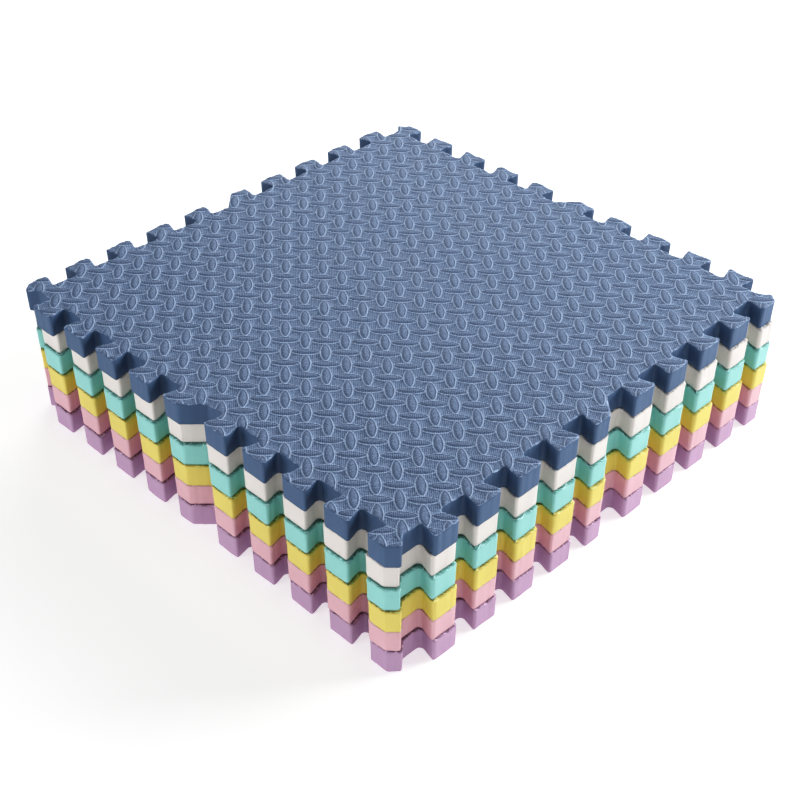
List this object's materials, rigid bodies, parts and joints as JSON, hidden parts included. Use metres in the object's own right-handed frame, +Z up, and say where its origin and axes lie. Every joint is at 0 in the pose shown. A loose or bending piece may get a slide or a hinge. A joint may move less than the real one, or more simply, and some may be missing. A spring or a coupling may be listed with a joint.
{
  "type": "blocking mats",
  "caption": "Stack of square interlocking foam blocking mats with dovetail-toothed edges and leaf-embossed tops, for pinning out knitting, lace and crochet.",
  "frame": {"origin": "under the middle of the stack, on the surface that the bottom mat rests on", "axes": "+Z up through the stack; X and Y along the sides of the square mats"},
  "size_m": [0.3086, 0.3094, 0.0819],
  "materials": {
    "foam_lilac": "matte",
    "foam_pink": "matte",
    "foam_yellow": "matte",
    "foam_mint": "matte",
    "foam_cream": "matte",
    "foam_navy": "matte"
  },
  "bodies": {
    "mat_lilac": {"mat_lilac": "foam_lilac"},
    "mat_pink": {"mat_pink": "foam_pink"},
    "mat_yellow": {"mat_yellow": "foam_yellow"},
    "mat_mint": {"mat_mint": "foam_mint"},
    "mat_cream": {"mat_cream": "foam_cream"},
    "mat_navy": {"mat_navy": "foam_navy"}
  },
  "joints": [
    {"name": "pink_lift", "type": "slide", "parent": "mat_lilac", "child": "mat_pink", "axis": [0, 0, 1], "range_m": [0, 0.06]},
    {"name": "yellow_lift", "type": "slide", "parent": "mat_pink", "child": "mat_yellow", "axis": [0, 0, 1], "range_m": [0, 0.06]},
    {"name": "mint_lift", "type": "slide", "parent": "mat_yellow", "child": "mat_mint", "axis": [0, 0, 1], "range_m": [0, 0.06]},
    {"name": "cream_lift", "type": "slide", "parent": "mat_mint", "child": "mat_cream", "axis": [0, 0, 1], "range_m": [0, 0.06]},
    {"name": "navy_lift", "type": "slide", "parent": "mat_cream", "child": "mat_navy", "axis": [0, 0, 1], "range_m": [0, 0.06]}
  ]
}
